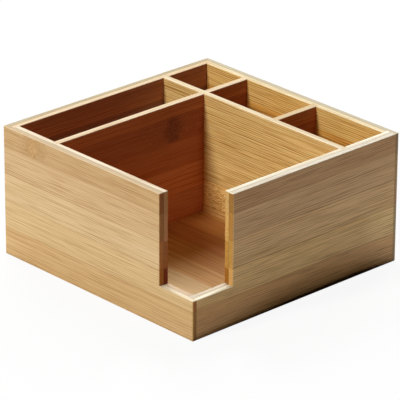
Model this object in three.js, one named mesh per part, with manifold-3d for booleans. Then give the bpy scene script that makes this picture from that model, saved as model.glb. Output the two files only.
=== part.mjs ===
// Napkin holder: a square bamboo box with one low corner, one napkin bay and four small bays.
// Millimetres, +Z up. The origin is the centre of the underside, -Y is the front, and the low corner
// is the front left one. Walls are two-ply boards. The left and right walls lap over the ends of the
// front and back walls. The base sits in a rebate, and the dividers are housed in the inner plies.

import * as THREE from "three";
import { mergeVertices } from "three/addons/utils/BufferGeometryUtils.js";
import Module from "manifold-3d";

const wasm = await Module();
wasm.setup();

// Overall sizes
const outerWidth = 190;
const outerDepth = 190;
const height = 95;

// Boards
const wallThickness = 8;
const dividerThickness = 5;
const baseThickness = 5;
const baseRecess = 1;

// The napkin bay: the long dividers stand where it ends
const napkinBayWidth = 132.5;
const napkinBayDepth = 132.5;

// The low corner, measured from the outside of the box
const lipHeight = 29;
const frontNotchLength = 35.5;
const leftNotchLength = 32.5;

// Joinery: what a side wall laps over a board's end, how deep the dividers are housed, and the
// line of glue in every joint
const lapThickness = 3.2;
const wallHousingDepth = 2;
const dividerHousingDepth = 1.5;
const glueLine = 0.1;

// Sanded edges: the radius of every edge, and how much rounder the upright corners are
const easeRadius = 0.7;
const cornerSoftening = 0.5;
const easeSteps = 3;

// How far a cutting tool runs past the wood
const overrun = 2;

// Faces of the box and of its boards
const left = -outerWidth / 2;
const right = outerWidth / 2;
const front = -outerDepth / 2;
const back = outerDepth / 2;
const innerLeft = left + wallThickness;
const innerRight = right - wallThickness;
const innerFront = front + wallThickness;
const innerBack = back - wallThickness;
const sideDividerLeft = innerLeft + napkinBayWidth;
const sideDividerRight = sideDividerLeft + dividerThickness;
const crossDividerFront = innerFront + napkinBayDepth;
const crossDividerBack = crossDividerFront + dividerThickness;
const shortDividerFront = innerFront + (napkinBayDepth - dividerThickness) / 2;
const shortDividerBack = shortDividerFront + dividerThickness;

// Layers and levels
const plyThickness = wallThickness / 2;
const floorLevel = baseRecess + baseThickness;
const dividerFoot = floorLevel + glueLine;
const halfLapLevel = (dividerFoot + height) / 2;
const belowBase = -overrun;
const aboveRim = height + overrun;

// Finishes
const wallBamboo = { color: 0xd9b47e, roughness: 0.55, metalness: 0 };
const dividerBamboo = { color: 0xc9985c, roughness: 0.55, metalness: 0 };
const baseBamboo = { color: 0xb9844c, roughness: 0.5, metalness: 0 };

// A closed three.js geometry as a solid that can be joined and cut.
function toSolid(geometry) {
  geometry.deleteAttribute("normal");
  geometry.deleteAttribute("uv");
  const merged = mergeVertices(geometry);
  return new wasm.Manifold(
    new wasm.Mesh({
      numProp: 3,
      vertProperties: new Float32Array(merged.attributes.position.array),
      triVerts: new Uint32Array(merged.index.array),
    }),
  );
}

// A solid back as a geometry with flat facets.
function toGeometry(solid) {
  const mesh = solid.getMesh();
  const geometry = new THREE.BufferGeometry();
  geometry.setAttribute("position", new THREE.BufferAttribute(mesh.vertProperties, mesh.numProp));
  geometry.setIndex(new THREE.BufferAttribute(mesh.triVerts, 1));
  const faceted = geometry.toNonIndexed();
  faceted.computeVertexNormals();
  return faceted;
}

function cut(solid, ...tools) {
  return tools.reduce((rest, tool) => rest.subtract(tool), solid);
}

// Which way a drawn section lies before it runs along an axis: it is drawn in (y, z) to run along X,
// in (x, z) to run along Y and in (x, y) to run along Z.
const alongAxis = {
  x: { across: [0, 1, 0], up: [0, 0, 1], ahead: [1, 0, 0] },
  y: { across: [1, 0, 0], up: [0, 0, 1], ahead: [0, -1, 0] },
  z: { across: [1, 0, 0], up: [0, 1, 0], ahead: [0, 0, 1] },
};

// Runs a section straight along an axis between two places on it.
function run(section, axis, from, to, placement = new THREE.Matrix4()) {
  const geometry = new THREE.ExtrudeGeometry(section, {
    depth: to - from,
    bevelEnabled: false,
    curveSegments: easeSteps,
  });
  const [across, up, ahead] = Object.values(alongAxis[axis]).map((v) => new THREE.Vector3(...v));
  const start = ahead.clone().multiplyScalar(axis === "y" ? -to : from);
  geometry.applyMatrix4(new THREE.Matrix4().makeBasis(across, up, ahead).setPosition(start));
  return toSolid(geometry.applyMatrix4(placement));
}

// A squared block between two corners of its plan and two levels.
function block(xA, yA, xB, yB, lowZ, highZ) {
  const [lowX, highX] = [Math.min(xA, xB), Math.max(xA, xB)];
  const [lowY, highY] = [Math.min(yA, yB), Math.max(yA, yB)];
  const plan = new THREE.Shape()
    .moveTo(lowX, lowY)
    .lineTo(highX, lowY)
    .lineTo(highX, highY)
    .lineTo(lowX, highY)
    .closePath();
  return run(plan, "z", lowZ, highZ);
}

// Everything between two planes across X or Y, from below the box up to a level.
function layer(axis, from, to, top = aboveRim) {
  return axis === "x"
    ? block(from, front - overrun, to, back + overrun, belowBase, top)
    : block(left - overrun, from, right + overrun, to, belowBase, top);
}

function roundedRectangle(lowX, lowY, highX, highY, radius) {
  return new THREE.Shape()
    .moveTo(lowX + radius, lowY)
    .lineTo(highX - radius, lowY)
    .absarc(highX - radius, lowY + radius, radius, -Math.PI / 2, 0)
    .lineTo(highX, highY - radius)
    .absarc(highX - radius, highY - radius, radius, 0, Math.PI / 2)
    .lineTo(lowX + radius, highY)
    .absarc(lowX + radius, highY - radius, radius, Math.PI / 2, Math.PI)
    .lineTo(lowX, lowY + radius)
    .absarc(lowX + radius, lowY + radius, radius, -Math.PI, -Math.PI / 2)
    .closePath();
}

// The outside of the box up to a rim level, with every edge eased: the plan and both elevations,
// each with rounded corners, cut to what they share.
function easedBlock(rim) {
  const plan = roundedRectangle(left, front, right, back, easeRadius + cornerSoftening);
  const frontElevation = roundedRectangle(left, 0, right, rim, easeRadius);
  const sideElevation = roundedRectangle(front, 0, back, rim, easeRadius);
  return run(plan, "z", belowBase, rim + overrun)
    .intersect(run(frontElevation, "y", front - overrun, back + overrun))
    .intersect(run(sideElevation, "x", left - overrun, right + overrun));
}

// The upright section of a well: straight sides that open out round the rim in a quarter circle.
function wellSection(low, high, rim) {
  return new THREE.Shape()
    .moveTo(low, belowBase)
    .lineTo(high, belowBase)
    .lineTo(high, rim - easeRadius)
    .absarc(high + easeRadius, rim - easeRadius, easeRadius, Math.PI, Math.PI / 2, true)
    .lineTo(high + easeRadius, rim + overrun)
    .lineTo(low - easeRadius, rim + overrun)
    .lineTo(low - easeRadius, rim)
    .absarc(low - easeRadius, rim - easeRadius, easeRadius, Math.PI / 2, 0, true)
    .closePath();
}

function well(lowX, lowY, highX, highY, rim) {
  const alongY = run(wellSection(lowX, highX, rim), "y", lowY - overrun, highY + overrun);
  const alongX = run(wellSection(lowY, highY, rim), "x", lowX - overrun, highX + overrun);
  return alongY.intersect(alongX);
}

// The space over the lip in one wall. It is drawn on a wall that starts at the origin, runs along +X
// and is wallThickness deep in Y. Its far end leaves the wall eased at both faces and at the rim.
function notchSpace(length, placement) {
  const easedEnd = length + easeRadius;
  const plan = new THREE.Shape()
    .moveTo(-overrun, -overrun)
    .lineTo(easedEnd, -overrun)
    .lineTo(easedEnd, 0)
    .absarc(easedEnd, easeRadius, easeRadius, -Math.PI / 2, -Math.PI, true)
    .lineTo(length, wallThickness - easeRadius)
    .absarc(easedEnd, wallThickness - easeRadius, easeRadius, Math.PI, Math.PI / 2, true)
    .lineTo(easedEnd, wallThickness + overrun)
    .lineTo(-overrun, wallThickness + overrun)
    .closePath();
  const elevation = new THREE.Shape()
    .moveTo(-overrun, belowBase)
    .lineTo(length, belowBase)
    .lineTo(length, height - easeRadius)
    .absarc(easedEnd, height - easeRadius, easeRadius, Math.PI, Math.PI / 2, true)
    .lineTo(easedEnd, aboveRim)
    .lineTo(-overrun, aboveRim)
    .closePath();
  return run(plan, "z", belowBase, aboveRim, placement).add(
    run(elevation, "y", -overrun, wallThickness + overrun, placement),
  );
}

// The whole carcass in one piece: the eased box less its wells, with the low corner let in from a
// second box whose rim is the lip. Each board is then sawn out of it, so that the edges run on from
// board to board as if they were sanded together.
function carcass() {
  const high = cut(
    easedBlock(height),
    well(innerLeft, innerFront, sideDividerLeft, crossDividerFront, height),
    well(innerLeft, crossDividerBack, sideDividerLeft, innerBack, height),
    well(sideDividerRight, crossDividerBack, innerRight, innerBack, height),
    well(sideDividerRight, shortDividerBack, innerRight, crossDividerFront, height),
    well(sideDividerRight, innerFront, innerRight, shortDividerFront, height),
  );
  const low = cut(
    easedBlock(lipHeight),
    well(innerLeft, innerFront, sideDividerLeft, crossDividerFront, lipHeight),
  );
  const onFrontWall = new THREE.Matrix4().setPosition(left, front, 0);
  const onLeftWall = new THREE.Matrix4()
    .makeBasis(new THREE.Vector3(0, 1, 0), new THREE.Vector3(-1, 0, 0), new THREE.Vector3(0, 0, 1))
    .setPosition(innerLeft, front, 0);
  const corner = notchSpace(frontNotchLength, onFrontWall).add(
    notchSpace(leftNotchLength, onLeftWall),
  );
  return high.subtract(corner).add(low.intersect(corner));
}

const box = carcass();

// Places of the dividers with their housed ends, grown by a margin for the housings themselves.
function crossDividerSpace(margin) {
  return block(
    innerLeft - wallHousingDepth - margin,
    crossDividerFront - margin,
    innerRight + wallHousingDepth + margin,
    crossDividerBack + margin,
    dividerFoot - margin,
    aboveRim,
  );
}

function sideDividerSpace(margin) {
  return block(
    sideDividerLeft - margin,
    innerFront - wallHousingDepth - margin,
    sideDividerRight + margin,
    innerBack + wallHousingDepth + margin,
    dividerFoot - margin,
    aboveRim,
  );
}

function shortDividerSpace(margin) {
  return block(
    sideDividerRight - dividerHousingDepth - margin,
    shortDividerFront - margin,
    innerRight + wallHousingDepth + margin,
    shortDividerBack + margin,
    dividerFoot - margin,
    aboveRim,
  );
}

const wallHousings = [crossDividerSpace, sideDividerSpace, shortDividerSpace].map((space) =>
  space(glueLine),
);

// The rebate for the base: as deep as the inner ply, along the whole foot of a wall.
function baseRebate(axis, outerFace, inward) {
  const depth = outerFace + inward * plyThickness;
  return layer(axis, depth, depth + inward * (plyThickness + overrun), dividerFoot);
}

// A left or right wall runs from front to back, rebated at both ends to lap over the other two.
function lappingWall(outerFace, inward) {
  const lapFace = outerFace + inward * lapThickness;
  const pastInnerFace = outerFace + inward * (wallThickness + overrun);
  const board = box.intersect(
    layer("x", outerFace - inward * overrun, outerFace + inward * wallThickness),
  );
  return cut(
    board,
    block(lapFace, front - overrun, pastInnerFace, innerFront + glueLine, belowBase, aboveRim),
    block(lapFace, back + overrun, pastInnerFace, innerBack - glueLine, belowBase, aboveRim),
    baseRebate("x", outerFace, inward),
    ...wallHousings,
  );
}

// A front or back wall stands between the laps of the left and right ones.
function lappedWall(outerFace, inward) {
  const board = box.intersect(
    block(
      left + lapThickness + glueLine,
      outerFace - inward * overrun,
      right - lapThickness - glueLine,
      outerFace + inward * wallThickness,
      belowBase,
      aboveRim,
    ),
  );
  return cut(board, baseRebate("y", outerFace, inward), ...wallHousings);
}

// Splits a wall along its glue line into its outer and its inner ply.
function plies(wall, axis, outerFace, inward) {
  const glue = outerFace + inward * plyThickness;
  const halfLine = (inward * glueLine) / 2;
  return {
    outer: wall.intersect(layer(axis, outerFace - inward * overrun, glue - halfLine)),
    inner: wall.intersect(layer(axis, glue + halfLine, glue + inward * (plyThickness + overrun))),
  };
}

function basePanel() {
  const margin = plyThickness + glueLine;
  return block(
    left + margin,
    front + margin,
    right - margin,
    back - margin,
    baseRecess,
    floorLevel,
  );
}

// The long dividers cross in a half lap: the cross divider is slotted from above, the side divider
// from below.
function crossDivider() {
  const slot = block(
    sideDividerLeft - glueLine,
    crossDividerFront - overrun,
    sideDividerRight + glueLine,
    crossDividerBack + overrun,
    halfLapLevel - glueLine / 2,
    aboveRim,
  );
  return cut(box.intersect(crossDividerSpace(0)), slot);
}

function sideDivider() {
  const slot = block(
    sideDividerLeft - overrun,
    crossDividerFront - glueLine,
    sideDividerRight + overrun,
    crossDividerBack + glueLine,
    belowBase,
    halfLapLevel + glueLine / 2,
  );
  return cut(box.intersect(sideDividerSpace(0)), slot, shortDividerSpace(glueLine));
}

function shortDivider() {
  return box.intersect(shortDividerSpace(0));
}

const walls = {
  left_wall: plies(lappingWall(left, 1), "x", left, 1),
  right_wall: plies(lappingWall(right, -1), "x", right, -1),
  front_wall: plies(lappedWall(front, 1), "y", front, 1),
  back_wall: plies(lappedWall(back, -1), "y", back, -1),
};

const holder = new THREE.Group();

function place(name, solid, finish) {
  const mesh = new THREE.Mesh(toGeometry(solid), new THREE.MeshStandardMaterial(finish));
  mesh.name = name;
  holder.add(mesh);
}

for (const [name, { outer, inner }] of Object.entries(walls)) {
  place(`${name}_outer_ply`, outer, wallBamboo);
  place(`${name}_inner_ply`, inner, wallBamboo);
}
place("base_panel", basePanel(), baseBamboo);
place("cross_divider", crossDivider(), dividerBamboo);
place("side_divider", sideDivider(), dividerBamboo);
place("short_divider", shortDivider(), dividerBamboo);

export default holder;
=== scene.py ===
import math

import bpy
import numpy as np
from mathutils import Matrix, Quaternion, Vector

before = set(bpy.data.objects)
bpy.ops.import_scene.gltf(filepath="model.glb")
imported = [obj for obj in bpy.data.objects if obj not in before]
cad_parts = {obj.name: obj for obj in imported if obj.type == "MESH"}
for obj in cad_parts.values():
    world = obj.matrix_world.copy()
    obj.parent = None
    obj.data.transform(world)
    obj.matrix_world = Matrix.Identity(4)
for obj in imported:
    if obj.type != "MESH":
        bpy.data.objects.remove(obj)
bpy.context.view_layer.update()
print("boards loaded:", len(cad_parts))


# Camera, at the photograph's angle

camera = dict(
    target=(-0.00771, -0.00787, 0.04745),  # the middle of the picture, in metres
    distance=2.32905,
    azimuth=-43.085,
    elevation=23.57,
    roll=0.31,
    rollAxis=(0, 0, 1),
    lens=308.2,
    sensor=36.0,
    near=0.1,
    far=40.0,
)


def direction(azimuth, elevation):
    # the unit vector towards a place in the room: azimuth 0 is in front of the box, 90 is on its right
    turn = math.radians(azimuth)
    lift = math.radians(elevation)
    return Vector((math.sin(turn) * math.cos(lift), -math.cos(turn) * math.cos(lift), math.sin(lift)))


def makeCamera(values):
    data = bpy.data.cameras.new("photoCamera")
    data.lens = values["lens"]
    data.sensor_width = values["sensor"]
    data.clip_start = values["near"]
    data.clip_end = values["far"]
    viewer = bpy.data.objects.new("photoCamera", data)
    back = direction(values["azimuth"], values["elevation"])
    viewer.location = Vector(values["target"]) + back * values["distance"]
    viewer.rotation_mode = "QUATERNION"
    tilt = Quaternion(values["rollAxis"], math.radians(values["roll"]))
    viewer.rotation_quaternion = (-back).to_track_quat("-Z", "Y") @ tilt
    bpy.context.scene.collection.objects.link(viewer)
    bpy.context.scene.camera = viewer


makeCamera(camera)
print("camera placed")


# Node helpers

half = 0.5
full = 1.0
number = "NodeSocketFloat"
vector = "NodeSocketVector"

# The curve of a screen's colours: a straight toe, then a power
screen = dict(levels=255, toe=0.04045, toeSlope=12.92, offset=0.055, spread=1.055, power=2.4)


def paint(colour):
    # a screen colour of three numbers from 0 to 255, as the linear colour that a shader takes
    linear = []
    for level in colour:
        part = level / screen["levels"]
        if part <= screen["toe"]:
            linear.append(part / screen["toeSlope"])
        else:
            linear.append(((part + screen["offset"]) / screen["spread"]) ** screen["power"])
    return (*linear, full)


def place(tree, kind, **settings):
    node = tree.nodes.new(kind)
    for name, value in settings.items():
        setattr(node, name, value)
    return node


def feed(tree, socket, value):
    # an output is wired to the socket, anything else is set on it
    if isinstance(value, bpy.types.NodeSocket):
        tree.links.new(value, socket)
    else:
        socket.default_value = value


def fill(tree, node, *values):
    # the node's sockets are fed in their order, and None leaves one as it is
    for socket, value in zip(node.inputs, values):
        if value is not None:
            feed(tree, socket, value)
    return node.outputs[0]


def maths(tree, operation, *values, clamp=False):
    return fill(tree, place(tree, "ShaderNodeMath", operation=operation, use_clamp=clamp), *values)


def vectorMaths(tree, operation, *values):
    return fill(tree, place(tree, "ShaderNodeVectorMath", operation=operation), *values)


def axesOf(tree, value):
    # the X, Y and Z of a vector
    parts = place(tree, "ShaderNodeSeparateXYZ")
    fill(tree, parts, value)
    return parts.outputs


def ease(tree, value, low, high, start=0.0, end=full):
    # a smooth step from start to end as value goes from low to high
    node = place(tree, "ShaderNodeMapRange", interpolation_type="SMOOTHSTEP")
    return fill(tree, node, value, low, high, start, end)


def fade(tree, value, low, high):
    # the same step from 1 down to 0
    return ease(tree, value, low, high, full, 0.0)


def mix(tree, factor, first, second, kind="MIX"):
    node = place(tree, "ShaderNodeMix", data_type="RGBA", blend_type=kind)
    feed(tree, node.inputs["Factor"], factor)
    feed(tree, node.inputs["A"], first)
    feed(tree, node.inputs["B"], second)
    return node.outputs["Result"]


def cloud(tree, point, scales, detail):
    # noise stretched along the axes: scales are in waves per millimetre
    turned = place(tree, "ShaderNodeMapping")
    feed(tree, turned.inputs["Vector"], point)
    feed(tree, turned.inputs["Scale"], scales)
    node = place(tree, "ShaderNodeTexNoise")
    feed(tree, node.inputs["Vector"], turned.outputs[0])
    feed(tree, node.inputs["Scale"], full)
    feed(tree, node.inputs["Detail"], detail)
    return node.outputs[0]


def newGroup(name, inputs, outputs):
    # an empty node group, and its sockets by their names
    tree = bpy.data.node_groups.new(name, "ShaderNodeTree")
    for way, sockets in (("INPUT", inputs), ("OUTPUT", outputs)):
        for label, kind in sockets:
            tree.interface.new_socket(name=label, in_out=way, socket_type=kind)
    return tree, place(tree, "NodeGroupInput").outputs, place(tree, "NodeGroupOutput").inputs


def useGroup(tree, group, given):
    node = place(tree, "ShaderNodeGroup", node_tree=group)
    for label, value in given.items():
        feed(tree, node.inputs[label], value)
    return node.outputs


def newMaterial(name):
    material = bpy.data.materials.new(name)
    material.use_nodes = True
    material.node_tree.nodes.clear()
    return material


def setSurface(tree, shader, kind="ShaderNodeOutputMaterial"):
    # the shader becomes the surface of the material or of the world
    feed(tree, place(tree, kind).inputs["Surface"], shader)


print("helpers ready")


# Bamboo: the effects that every board's material uses. Lengths are in millimetres

grain = dict(
    millimetres=(1000.0, 1000.0, 1000.0),
    stripDraw=(400.0, 400.0, 400.0),  # how far apart two strips lie in the noise
    boardDraw=37.0,
    jointWidth=0.35,
    bandWaves=(0.004, 0.085, 0.085),
    bandDetail=2.0,
    lineWaves=(0.008, 0.60, 0.60),
    lineDetail=3.0,
    lineRange=(0.46, 0.66),
    ribPitch=1.5,
    ribWaves=(0.010, 0.24, 0.24),
    ribDetail=2.0,
    ribWander=2.0,  # in pitches
    ribFloor=-0.1,
    ribPatchWaves=(0.012, 0.36, 0.36),
    ribPatchRange=(0.22, 0.58),
    fibreWaves=(0.035, 1.80, 1.80),
    fibreDetail=2.0,
    fibreRange=(0.50, 0.66),
    fibreHeightShare=0.5,
)


def makeStripGroup():
    # a board glued from strips: each strip takes its own place in the grain
    tree, given, out = newGroup(
        "gluedStrips",
        (
            ("Point", vector),
            ("Strip Width", number),
            ("First Joint", number),
            ("Board", number),
            ("Swirl", vector),
            ("Curl", number),
        ),
        (
            ("Strip", number),
            ("Joint", number),
            ("Band", number),
            ("Lines", number),
            ("Ribs", number),
            ("Fibres", number),
            ("Height", number),
        ),
    )
    point = vectorMaths(tree, "MULTIPLY", given["Point"], grain["millimetres"])
    fromJoint = maths(tree, "SUBTRACT", axesOf(tree, point)["Y"], given["First Joint"])
    count = maths(tree, "DIVIDE", fromJoint, given["Strip Width"])
    strip = maths(tree, "FLOOR", count)
    middle = maths(tree, "ABSOLUTE", maths(tree, "SUBTRACT", maths(tree, "FRACT", count), half))
    gap = maths(tree, "MULTIPLY", maths(tree, "SUBTRACT", half, middle), given["Strip Width"])
    draw = place(tree, "ShaderNodeTexWhiteNoise", noise_dimensions="1D")
    board = maths(tree, "MULTIPLY", given["Board"], grain["boardDraw"])
    feed(tree, draw.inputs["W"], maths(tree, "ADD", strip, board))
    shift = vectorMaths(tree, "MULTIPLY", draw.outputs["Color"], grain["stripDraw"])
    drawn = vectorMaths(tree, "ADD", vectorMaths(tree, "ADD", point, shift), given["Swirl"])
    lines = cloud(tree, drawn, grain["lineWaves"], grain["lineDetail"])
    fibres = cloud(tree, drawn, grain["fibreWaves"], grain["fibreDetail"])
    wander = cloud(tree, drawn, grain["ribWaves"], grain["ribDetail"])
    wander = maths(tree, "MULTIPLY", wander, grain["ribWander"])
    across = axesOf(tree, drawn)
    around = maths(tree, "ADD", across["Y"], across["Z"])  # so that the rims show the ribs too
    turns = maths(tree, "ADD", maths(tree, "DIVIDE", around, grain["ribPitch"]), wander)
    wave = maths(tree, "SINE", maths(tree, "MULTIPLY", turns, math.tau))
    ribs = ease(tree, wave, grain["ribFloor"], full)
    patch = cloud(tree, drawn, grain["ribPatchWaves"], grain["ribDetail"])
    patch = ease(tree, patch, *grain["ribPatchRange"])
    finer = maths(tree, "MULTIPLY", fibres, grain["fibreHeightShare"])
    feed(tree, out["Strip"], strip)
    feed(tree, out["Joint"], fade(tree, gap, 0.0, grain["jointWidth"]))
    feed(tree, out["Band"], cloud(tree, drawn, grain["bandWaves"], grain["bandDetail"]))
    feed(tree, out["Lines"], ease(tree, lines, *grain["lineRange"]))
    feed(tree, out["Ribs"], maths(tree, "MULTIPLY", ribs, maths(tree, "MAXIMUM", patch, given["Curl"])))
    feed(tree, out["Fibres"], ease(tree, fibres, *grain["fibreRange"]))
    feed(tree, out["Height"], maths(tree, "ADD", lines, finer))
    return tree


knot = dict(
    driftWaves=(0.22, 0.30, 0.30),
    driftDetail=3.0,
    drift=9.0,
    taperShare=0.35,
    coreEdgeShare=0.3,
    flankReachShare=3.5,
    softEdge=0.6,
    speckWaves=(0.75, 0.75, 0.75),
    speckDetail=2.0,
    speckRange=(0.46, 0.58),
    swirlWaves=(0.16, 0.22, 0.22),
    swirlDetail=1.0,
)


def makeKnuckleGroup():
    # the knuckle of a cane: a speckled core across one strip, with the grain swirling on both flanks
    tree, given, out = newGroup(
        "caneKnuckle",
        (
            ("Point", vector),
            ("Along", number),
            ("Low", number),
            ("High", number),
            ("Reach", number),
            ("Bend", vector),
        ),
        (("Core", number), ("Flank", number), ("Specks", number), ("Swirl", vector)),
    )
    point = vectorMaths(tree, "MULTIPLY", given["Point"], grain["millimetres"])
    parts = axesOf(tree, point)
    drift = cloud(tree, point, knot["driftWaves"], knot["driftDetail"])
    drift = maths(tree, "MULTIPLY", maths(tree, "SUBTRACT", drift, half), knot["drift"])
    away = maths(tree, "ADD", maths(tree, "SUBTRACT", parts["X"], given["Along"]), drift)
    middle = maths(tree, "MULTIPLY", maths(tree, "ADD", given["Low"], given["High"]), half)
    fromMiddle = maths(tree, "ABSOLUTE", maths(tree, "SUBTRACT", parts["Y"], middle))
    taper = maths(tree, "MULTIPLY", fromMiddle, knot["taperShare"])
    away = maths(tree, "ADD", maths(tree, "ABSOLUTE", away), taper)
    aboveLow = ease(tree, maths(tree, "SUBTRACT", parts["Y"], given["Low"]), 0.0, knot["softEdge"])
    belowHigh = ease(tree, maths(tree, "SUBTRACT", given["High"], parts["Y"]), 0.0, knot["softEdge"])
    strip = maths(tree, "MULTIPLY", aboveLow, belowHigh)
    coreFrom = maths(tree, "MULTIPLY", given["Reach"], knot["coreEdgeShare"])
    core = maths(tree, "MULTIPLY", strip, fade(tree, away, coreFrom, given["Reach"]))
    flankTo = maths(tree, "MULTIPLY", given["Reach"], knot["flankReachShare"])
    flank = maths(tree, "MULTIPLY", strip, fade(tree, away, 0.0, flankTo))
    specks = ease(tree, cloud(tree, point, knot["speckWaves"], knot["speckDetail"]), *knot["speckRange"])
    swirl = cloud(tree, point, knot["swirlWaves"], knot["swirlDetail"])
    swirl = maths(tree, "MULTIPLY", maths(tree, "SUBTRACT", swirl, half), flank)
    feed(tree, out["Core"], core)
    feed(tree, out["Flank"], flank)
    feed(tree, out["Specks"], maths(tree, "MULTIPLY", specks, core))
    feed(tree, out["Swirl"], vectorMaths(tree, "SCALE", given["Bend"], None, None, swirl))
    return tree


# Ranges of the normal's parts, and how wide the line of glue shows
sides = dict(
    turnedFrom=0.55,
    turnedTo=0.85,
    farTo=0.2,
    easedFrom=0.9,
    easedTo=0.985,
    raisedFrom=0.2,
    raisedTo=0.5,
    seamWidth=0.9,
)


def makeSideGroup():
    # which side of a board is seen: its rim, its sawn end, its far face, an eased edge that faces up, where
    # a highlight is painted, or the glue line
    tree, given, out = newGroup(
        "boardSides",
        (("Point", vector), ("Normal", vector), ("Glue Line", number)),
        (("Rim", number), ("End", number), ("Far", number), ("Painted Highlight", number), ("Seam", number)),
    )
    end, rim, face = axesOf(tree, vectorMaths(tree, "ABSOLUTE", given["Normal"]))
    most = maths(tree, "MAXIMUM", maths(tree, "MAXIMUM", end, rim), face)
    eased = fade(tree, most, sides["easedFrom"], sides["easedTo"])
    # only eased edges that face up take the painted highlight, as if lit from above
    raised = ease(tree, rim, sides["raisedFrom"], sides["raisedTo"])
    point = vectorMaths(tree, "MULTIPLY", given["Point"], grain["millimetres"])
    away = maths(tree, "SUBTRACT", axesOf(tree, point)["Z"], given["Glue Line"])
    seam = fade(tree, maths(tree, "ABSOLUTE", away), 0.0, sides["seamWidth"])
    cut = fade(tree, face, sides["turnedFrom"], sides["turnedTo"])
    feed(tree, out["Rim"], ease(tree, rim, sides["turnedFrom"], sides["turnedTo"]))
    feed(tree, out["End"], ease(tree, end, sides["turnedFrom"], sides["turnedTo"]))
    feed(tree, out["Far"], ease(tree, axesOf(tree, given["Normal"])["Z"], 0.0, sides["farTo"]))
    feed(tree, out["Painted Highlight"], maths(tree, "MULTIPLY", eased, raised))
    feed(tree, out["Seam"], maths(tree, "MULTIPLY", seam, cut))
    return tree


stripGroup = makeStripGroup()
knuckleGroup = makeKnuckleGroup()
sideGroup = makeSideGroup()
print("bamboo effects built")


# Finishes: for the sunlit outside, the shaded outside, the lining, and the lining that faces the front

outside = dict(
    lineTint=(0.93, 0.90, 0.84, 1.0),
    ribTint=(0.85, 0.77, 0.65, 1.0),
    bandTint=(1.10, 1.13, 1.18, 1.0),
    fibreTint=(0.80, 0.73, 0.62, 1.0),
    jointTint=(0.74, 0.64, 0.50, 1.0),
    seamTint=(0.76, 0.77, 0.78, 1.0),
    rimCalmShare=0.7,
    # how far the painted highlight covers the eased edges that face up
    easedShare=0.5,
    roughness=(0.40, 0.52),
    gloss=0.3,
    reliefDepth=0.00006,  # in metres
    relief=0.35,
)
shaded = dict(
    outside,
    # a stronger painted highlight on the eased edges that face up
    easedShare=0.9,
    ribTint=(0.74, 0.65, 0.54, 1.0),
    fibreTint=(0.68, 0.59, 0.48, 1.0),
)
inside = dict(
    outside,
    lineTint=(0.95, 0.90, 0.80, 1.0),
    ribTint=(0.58, 0.42, 0.25, 1.0),
    fibreTint=(0.74, 0.62, 0.46, 1.0),
    jointTint=(0.76, 0.60, 0.40, 1.0),
)
calm = dict(
    inside,
    lineTint=(0.86, 0.76, 0.64, 1.0),
    ribTint=(0.80, 0.70, 0.58, 1.0),
    fibreTint=(0.80, 0.70, 0.56, 1.0),
)


def stripTones(tree, strip, colours):
    # one colour for each strip, from the lowest strip up
    node = place(tree, "ShaderNodeValToRGB")
    ramp = node.color_ramp
    ramp.interpolation = "CONSTANT"
    total = len(colours)
    for index, colour in enumerate(colours):
        stop = ramp.elements[0] if index == 0 else ramp.elements.new(index / total)
        stop.position = index / total
        stop.color = paint(colour)
    ramp.elements.remove(ramp.elements[-1])
    return fill(tree, node, maths(tree, "DIVIDE", maths(tree, "ADD", strip, half), total))


def inBoardOrder(tree, axes, value):
    # the vector with its parts in the board's order: along the grain, across the strips, through the board
    parts = axesOf(tree, value)
    return fill(tree, place(tree, "ShaderNodeCombineXYZ"), *[parts[axis.upper()] for axis in axes])


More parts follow.
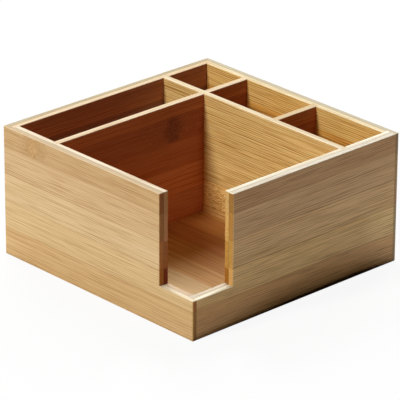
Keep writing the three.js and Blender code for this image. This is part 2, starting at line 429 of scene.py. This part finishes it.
def boardMaterial(name, board, finish):
    material = newMaterial(name)
    tree = material.node_tree
    coordinates = place(tree, "ShaderNodeTexCoord")
    point = inBoardOrder(tree, board["axes"], coordinates.outputs["Object"])
    normal = inBoardOrder(tree, board["axes"], coordinates.outputs["Normal"])
    marks = []
    swirl = (0.0, 0.0, 0.0)
    curl = 0.0
    for knuckle in board["knuckles"]:
        places = {label: knuckle[label.lower()] for label in ("Along", "Low", "High", "Reach", "Bend")}
        mark = useGroup(tree, knuckleGroup, {"Point": point, **places})
        swirl = vectorMaths(tree, "ADD", swirl, mark["Swirl"])
        curl = maths(tree, "MAXIMUM", curl, maths(tree, "MULTIPLY", mark["Flank"], knuckle["curlShare"]))
        for label, tint in (("Flank", "flankTint"), ("Core", "coreTint"), ("Specks", "speckTint")):
            marks.append((mark[label], knuckle[tint]))
    strips = {
        "Point": point,
        "Strip Width": board["stripWidth"],
        "First Joint": board["firstJoint"],
        "Board": board["number"],
        "Swirl": swirl,
        "Curl": curl,
    }
    wood = useGroup(tree, stripGroup, strips)
    side = useGroup(tree, sideGroup, {"Point": point, "Normal": normal, "Glue Line": board["glueLine"]})
    colour = stripTones(tree, wood["Strip"], board["faces"])
    for label, tones in (("Far", board["farFaces"]), ("Rim", board["rims"]), ("End", board["ends"])):
        if tones:
            colour = mix(tree, side[label], colour, stripTones(tree, wood["Strip"], tones))
    plain = maths(tree, "ADD", side["End"], maths(tree, "MULTIPLY", side["Rim"], finish["rimCalmShare"]))
    ribs = maths(tree, "MULTIPLY", wood["Ribs"], maths(tree, "SUBTRACT", full, plain), clamp=True)
    layers = (
        (wood["Lines"], finish["lineTint"]),
        (ribs, finish["ribTint"]),
        (wood["Fibres"], finish["fibreTint"]),
        (wood["Band"], finish["bandTint"]),
        (wood["Joint"], finish["jointTint"]),
        (side["Seam"], finish["seamTint"]),
        *marks,
    )
    for mask, tint in layers:
        colour = mix(tree, mask, colour, tint, "MULTIPLY")
    # a painted highlight: eased edges that face up take each board's own pale colour
    eased = maths(tree, "MULTIPLY", side["Painted Highlight"], finish["easedShare"])
    colour = mix(tree, eased, colour, paint(board["eased"]))
    bump = place(tree, "ShaderNodeBump")
    feed(tree, bump.inputs["Strength"], finish["relief"])
    feed(tree, bump.inputs["Distance"], finish["reliefDepth"])
    feed(tree, bump.inputs["Height"], wood["Height"])
    shader = place(tree, "ShaderNodeBsdfPrincipled")
    feed(tree, shader.inputs["Base Color"], colour)
    feed(tree, shader.inputs["Roughness"], ease(tree, wood["Lines"], 0.0, full, *finish["roughness"]))
    feed(tree, shader.inputs["Specular IOR Level"], finish["gloss"])
    feed(tree, shader.inputs["Normal"], bump.outputs[0])
    setSurface(tree, shader.outputs[0])
    return material


def dress(node, board, finish):
    # gives a packed board its own material
    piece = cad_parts[node]
    piece.data.materials.clear()
    piece.data.materials.append(boardMaterial(node, board, finish))


# Boards: axes are along the grain, across the strips and through the board, lengths are in millimetres, and
# the colours of faces, rims and sawn ends run from the lowest strip up. Far faces look along the last axis

wallStrips = 5
floorStrips = 10
noGlueLine = 1000.0  # a board of one ply: the line lies far outside it

leftKnuckle = dict(
    along=64.0,
    low=80.4,
    high=95.0,
    reach=5.5,
    bend=(0.0, 9.0, 9.0),
    curlShare=0.3,
    coreTint=(1.24, 1.32, 1.42, 1.0),
    flankTint=(0.87, 0.80, 0.70, 1.0),
    speckTint=(0.80, 0.72, 0.60, 1.0),
)
leftOuter = dict(
    number=1,
    axes="yzx",
    stripWidth=19.8,
    firstJoint=1.2,
    glueLine=-91.0,
    faces=((204, 168, 115), (207, 176, 125), (207, 177, 130), (200, 167, 121), (190, 155, 106)),
    rims=((190, 166, 128), (228, 211, 180), (190, 166, 128), (190, 166, 128), (181, 155, 114)),
    ends=((168, 115, 37), (173, 104, 32), (179, 109, 43), (161, 103, 43), (144, 78, 3)),
    farFaces=(),
    # the colour of the painted highlight on its upward eased edges
    eased=(232, 206, 166),
    knuckles=(leftKnuckle,),
)
dress("left_wall_outer_ply", leftOuter, outside)

paleKnuckle = dict(
    leftKnuckle,
    along=-41.0,
    low=21.0,
    high=40.8,
    reach=6.0,
    coreTint=(1.05, 1.04, 1.01, 1.0),
    flankTint=(0.93, 0.88, 0.81, 1.0),
)
darkKnuckle = dict(
    leftKnuckle,
    along=38.0,
    low=60.6,
    high=80.4,
    reach=5.0,
    coreTint=(0.94, 0.90, 0.84, 1.0),
    flankTint=(0.95, 0.91, 0.86, 1.0),
    speckTint=(0.82, 0.74, 0.62, 1.0),
)
rightOuter = dict(
    leftOuter,
    number=2,
    # a darker painted highlight on this wall's outer edge
    eased=(190, 172, 138),
    glueLine=91.0,
    rims=((182, 169, 139),) * wallStrips,
    ends=((191, 155, 108), (184, 156, 107), (188, 145, 99), (185, 149, 96), (158, 127, 84)),
    knuckles=(paleKnuckle, darkKnuckle),
)
dress("right_wall_outer_ply", rightOuter, outside)

# painted light: a paler patch low on the far end of the front wall, made with a knuckle's pale flank and no
# knuckle of its own
frontPaintedLight = dict(
    along=84.0,
    low=2.0,
    high=41.6,
    reach=8.0,
    bend=(0.0, 0.0, 0.0),
    curlShare=0.0,
    coreTint=(1.01, 1.02, 1.03, 1.0),
    flankTint=(1.12, 1.20, 1.31, 1.0),
    speckTint=(0.99, 0.98, 0.97, 1.0),
)
frontOuter = dict(
    leftOuter,
    number=3,
    axes="xzy",
    firstJoint=2.0,
    eased=(255, 240, 212),
    # its lowest strip is darker, partly painted shade at the wall's foot
    faces=((233, 178, 112), (248, 205, 136), (240, 196, 136), (226, 181, 127), (208, 159, 104)),
    rims=((216, 205, 183), (239, 232, 205), (216, 205, 183), (216, 205, 183), (214, 203, 183)),
    ends=((195, 144, 75), (202, 153, 86), (183, 140, 66), (171, 123, 54), (155, 111, 47)),
    knuckles=(frontPaintedLight,),
)
dress("front_wall_outer_ply", frontOuter, shaded)

backOuter = dict(
    frontOuter,
    number=4,
    # a darker painted highlight on this wall's outer edge
    eased=(190, 170, 135),
    glueLine=91.0,
    faces=((200, 158, 104), (208, 168, 116), (212, 174, 122), (205, 166, 116), (196, 154, 106)),
    rims=((175, 157, 117),) * wallStrips,
    knuckles=(dict(paleKnuckle, along=-22.0, low=41.6, high=61.4),),
)
dress("back_wall_outer_ply", backOuter, shaded)

leftInner = dict(
    number=5,
    axes="yzx",
    stripWidth=19.5,
    firstJoint=1.0,
    glueLine=-91.0,
    faces=((208, 164, 98), (212, 168, 102), (214, 171, 106), (210, 168, 102), (212, 168, 104)),
    rims=((203, 179, 148), (199, 173, 139), (226, 206, 177), (226, 206, 177), (224, 210, 184)),
    # the second strip of the left wall's sawn end is nearly black: painted shade just above the lip
    ends=((125, 62, 23), (122, 36, 0), (166, 97, 41), (191, 132, 85), (179, 125, 72)),
    farFaces=(),
    eased=(244, 222, 184),
    knuckles=(),
)
dress("left_wall_inner_ply", leftInner, inside)

rightInner = dict(
    leftInner,
    number=6,
    glueLine=91.0,
    faces=((214, 170, 98), (216, 173, 100), (220, 174, 98), (219, 166, 83), (226, 188, 114)),
    rims=((222, 204, 160),) * wallStrips,
)
dress("right_wall_inner_ply", rightInner, inside)

frontInner = dict(
    leftInner,
    number=7,
    axes="xzy",
    rims=((210, 197, 175), (204, 191, 167), (231, 218, 194), (231, 218, 194), (233, 228, 206)),
    ends=((149, 97, 37), (153, 99, 30), (182, 136, 63), (203, 161, 91), (199, 160, 97)),
)
dress("front_wall_inner_ply", frontInner, calm)

backInner = dict(
    frontInner,
    number=8,
    glueLine=91.0,
    # painted shade: this face, which looks to the front, is written redder and darker, and its fourth strip
    # darker still for the shadow above the cross divider
    faces=((184, 122, 74), (186, 124, 76), (188, 126, 80), (160, 110, 98), (194, 131, 105)),
    rims=((217, 193, 152),) * wallStrips,
)
dress("back_wall_inner_ply", backInner, calm)

crossKnuckle = dict(
    leftKnuckle,
    along=16.2,
    low=66.5,
    high=86.0,
    reach=12.0,
    curlShare=0.6,
    coreTint=(0.70, 0.60, 0.60, 1.0),
    flankTint=(0.93, 0.91, 0.90, 1.0),
    speckTint=(0.66, 0.50, 0.40, 1.0),
)
crossBoard = dict(
    backInner,
    number=9,
    firstJoint=7.5,
    glueLine=noGlueLine,
    farFaces=((196, 136, 84), (200, 142, 88), (198, 140, 86), (190, 130, 78), (196, 138, 84)),
    # painted shade: the side that faces the front is written redder and darker than the far side
    faces=((191, 120, 91), (199, 122, 83), (178, 99, 64), (169, 90, 58), (187, 106, 65)),
    rims=((217, 195, 158),) * wallStrips,
    knuckles=(crossKnuckle,),
)
dress("cross_divider", crossBoard, calm)

sideKnuckle = dict(
    along=30.0,
    low=11.5,
    high=31.0,
    reach=8.0,
    bend=(0.0, 4.0, 4.0),
    curlShare=1.0,
    coreTint=(1.0, 0.99, 0.95, 1.0),
    flankTint=(1.04, 1.06, 1.02, 1.0),
    speckTint=(0.84, 0.74, 0.62, 1.0),
)
sideBoard = dict(
    leftInner,
    number=10,
    firstJoint=11.5,
    glueLine=noGlueLine,
    # painted light: the lowest strip is written paler, for the divider's foot, which the lamps leave in
    # shade
    faces=((244, 206, 134), (228, 196, 128), (222, 189, 121), (226, 194, 127), (228, 196, 130)),
    rims=((217, 201, 166),) * wallStrips,
    knuckles=(sideKnuckle,),
)
dress("side_divider", sideBoard, inside)

# painted shade: its front side keeps the cross divider's redder, darker colours
shortBoard = dict(crossBoard, number=11, rims=((200, 173, 124),) * wallStrips, knuckles=())
dress("short_divider", shortBoard, calm)

# The floor of the bays: the first strip lies along the left wall, and the far face is the upper one
underTones = ((206, 162, 100), (212, 170, 108), (204, 158, 96), (210, 166, 104), (208, 164, 100))
baseBoard = dict(
    leftInner,
    number=12,
    axes="yxz",
    firstJoint=-95.0,
    glueLine=noGlueLine,
    faces=(*underTones, *underTones),
    # painted light and shade: the upper face's strips are paler towards the notch and the side divider and
    # darker between them
    farFaces=(
        (212, 170, 108),
        (214, 174, 112),
        (222, 196, 144),
        (214, 172, 107),
        (201, 148, 84),
        (196, 134, 82),
        (212, 152, 91),
        (226, 174, 100),
        (210, 160, 98),
        (212, 162, 100),
    ),
    rims=((200, 153, 92),) * floorStrips,
    ends=((180, 130, 76),) * floorStrips,
)
dress("base_panel", baseBoard, calm)
print("boards dressed")


# Room: a pale floor, a white backdrop and soft lamps

room = dict(
    ambient=(1.0, 1.0, 1.0, 1.0),
    ambientStrength=0.005,
    white=(1.0, 1.0, 1.0, 1.0),
    floorColour=(0.84, 0.84, 0.84, 1.0),
    floorHalf=5.0,  # in metres, as floorDrop is
    floorDrop=0.0002,
    floorWhiteShare=0.92,
)


def plainShader(tree, kind, colour):
    node = place(tree, kind)
    feed(tree, node.inputs["Color"], colour)
    return node.outputs[0]


def mixShaders(tree, share, first, second):
    return fill(tree, place(tree, "ShaderNodeMixShader"), share, first, second)


def backdropRays(tree):
    # 1 for the rays that see the backdrop: the camera's, and those through or off a glossy surface
    path = place(tree, "ShaderNodeLightPath")
    seen = maths(tree, "MAXIMUM", path.outputs["Is Camera Ray"], path.outputs["Is Glossy Ray"])
    return maths(tree, "MAXIMUM", seen, path.outputs["Is Transmission Ray"])


def makeWorld(values):
    world = bpy.data.worlds.new("studio")
    bpy.context.scene.world = world
    world.use_nodes = True
    tree = world.node_tree
    tree.nodes.clear()
    dim = place(tree, "ShaderNodeBackground")
    feed(tree, dim.inputs["Color"], values["ambient"])
    feed(tree, dim.inputs["Strength"], values["ambientStrength"])
    white = plainShader(tree, "ShaderNodeBackground", values["white"])
    either = mixShaders(tree, backdropRays(tree), dim.outputs[0], white)
    setSurface(tree, either, "ShaderNodeOutputWorld")


def makeFloor(values):
    # one square, a little below the box, so that the two don't touch
    reach = values["floorHalf"]
    drop = -values["floorDrop"]
    corners = [(-reach, -reach, drop), (reach, -reach, drop), (reach, reach, drop), (-reach, reach, drop)]
    mesh = bpy.data.meshes.new("studioFloor")
    mesh.from_pydata(corners, [], [tuple(range(len(corners)))])
    material = newMaterial("studioFloor")
    tree = material.node_tree
    matt = plainShader(tree, "ShaderNodeBsdfDiffuse", values["floorColour"])
    white = plainShader(tree, "ShaderNodeEmission", values["white"])
    share = maths(tree, "MULTIPLY", backdropRays(tree), values["floorWhiteShare"])
    lit = mixShaders(tree, share, matt, white)
    under = place(tree, "ShaderNodeNewGeometry").outputs["Backfacing"]  # seen from underneath, it is clear
    clear = place(tree, "ShaderNodeBsdfTransparent").outputs[0]
    setSurface(tree, mixShaders(tree, under, lit, clear))
    mesh.materials.append(material)
    floor = bpy.data.objects.new("studioFloor", mesh)
    bpy.context.scene.collection.objects.link(floor)


makeWorld(room)
makeFloor(room)

# A dark card lies on the floor along the front wall, with a low fold beside the wall's foot. The camera
# doesn't see it: it holds back the light that the floor throws on the foot. Stations are (x, reach) and all
# lengths are in millimetres
card = dict(
    stations=((-94, 3), (-64, 6), (-30, 11.5), (0, 19), (60, 22), (80, 11), (90, 4.5), (94, 2)),
    metres=0.001,
    under=-94.5,
    wall=-95.0,
    height=-0.1,
    foldShare=0.2,
    foldRiseShare=0.13,
    colour=(0.02, 0.02, 0.02, 1.0),
)


def makeCard(values):
    # a grid with three points at each station: one under the wall, one at the full reach, and between them
    # one on the fold, whose distance from the wall and height are shares of the reach
    along, reach = np.array(values["stations"], dtype=float).T
    level = np.full_like(along, values["height"])
    under = np.full_like(along, values["under"])
    fold = values["wall"] - reach * values["foldShare"]
    across = np.stack((under, fold, values["wall"] - reach), axis=-1)
    heights = np.stack((level, reach * values["foldRiseShare"], level), axis=-1)
    grid = np.stack((np.broadcast_to(along[:, None], across.shape), across, heights), axis=-1)
    points = grid.reshape(-1, grid.shape[-1]) * values["metres"]
    count = np.arange(across.size).reshape(across.shape)
    corners = (count[:-1, :-1], count[:-1, 1:], count[1:, 1:], count[1:, :-1])
    faces = np.stack(corners, axis=-1).reshape(-1, len(corners))
    mesh = bpy.data.meshes.new("studioCard")
    mesh.from_pydata(points.tolist(), [], faces.tolist())
    material = newMaterial("studioCard")
    tree = material.node_tree
    setSurface(tree, plainShader(tree, "ShaderNodeBsdfDiffuse", values["colour"]))
    mesh.materials.append(material)
    piece = bpy.data.objects.new("studioCard", mesh)
    piece.visible_camera = False
    piece.visible_transmission = False
    piece.visible_shadow = False
    bpy.context.scene.collection.objects.link(piece)


makeCard(card)

# Strength is the share of a colour that a face square to the lamp shows. Angles are in degrees, and lengths
# in metres
lamps = dict(
    keyLamp=dict(azimuth=-97.5, elevation=33.0, distance=2.0, width=0.34, height=0.50, strength=0.78),
    backLamp=dict(azimuth=155.0, elevation=48.0, distance=2.0, width=0.80, height=0.80, strength=0.655),
    sideLamp=dict(azimuth=112.0, elevation=39.0, distance=2.0, width=0.80, height=0.80, strength=0.488),
)


def makeLamp(name, values):
    data = bpy.data.lights.new(name, "AREA")
    data.shape = "ELLIPSE"
    data.size = values["width"]
    data.size_y = values["height"]
    spread = math.pi * values["distance"]  # at strength 1 the power is the square of this, in watts
    data.energy = values["strength"] * spread * spread
    lamp = bpy.data.objects.new(name, data)
    towards = direction(values["azimuth"], values["elevation"])
    lamp.location = Vector(camera["target"]) + towards * values["distance"]
    lamp.rotation_mode = "QUATERNION"
    lamp.rotation_quaternion = towards.to_track_quat("Z", "Y")
    bpy.context.scene.collection.objects.link(lamp)


for lampName, lampValues in lamps.items():
    makeLamp(lampName, lampValues)
bpy.context.scene.view_settings.view_transform = "Standard"
print("room lit")
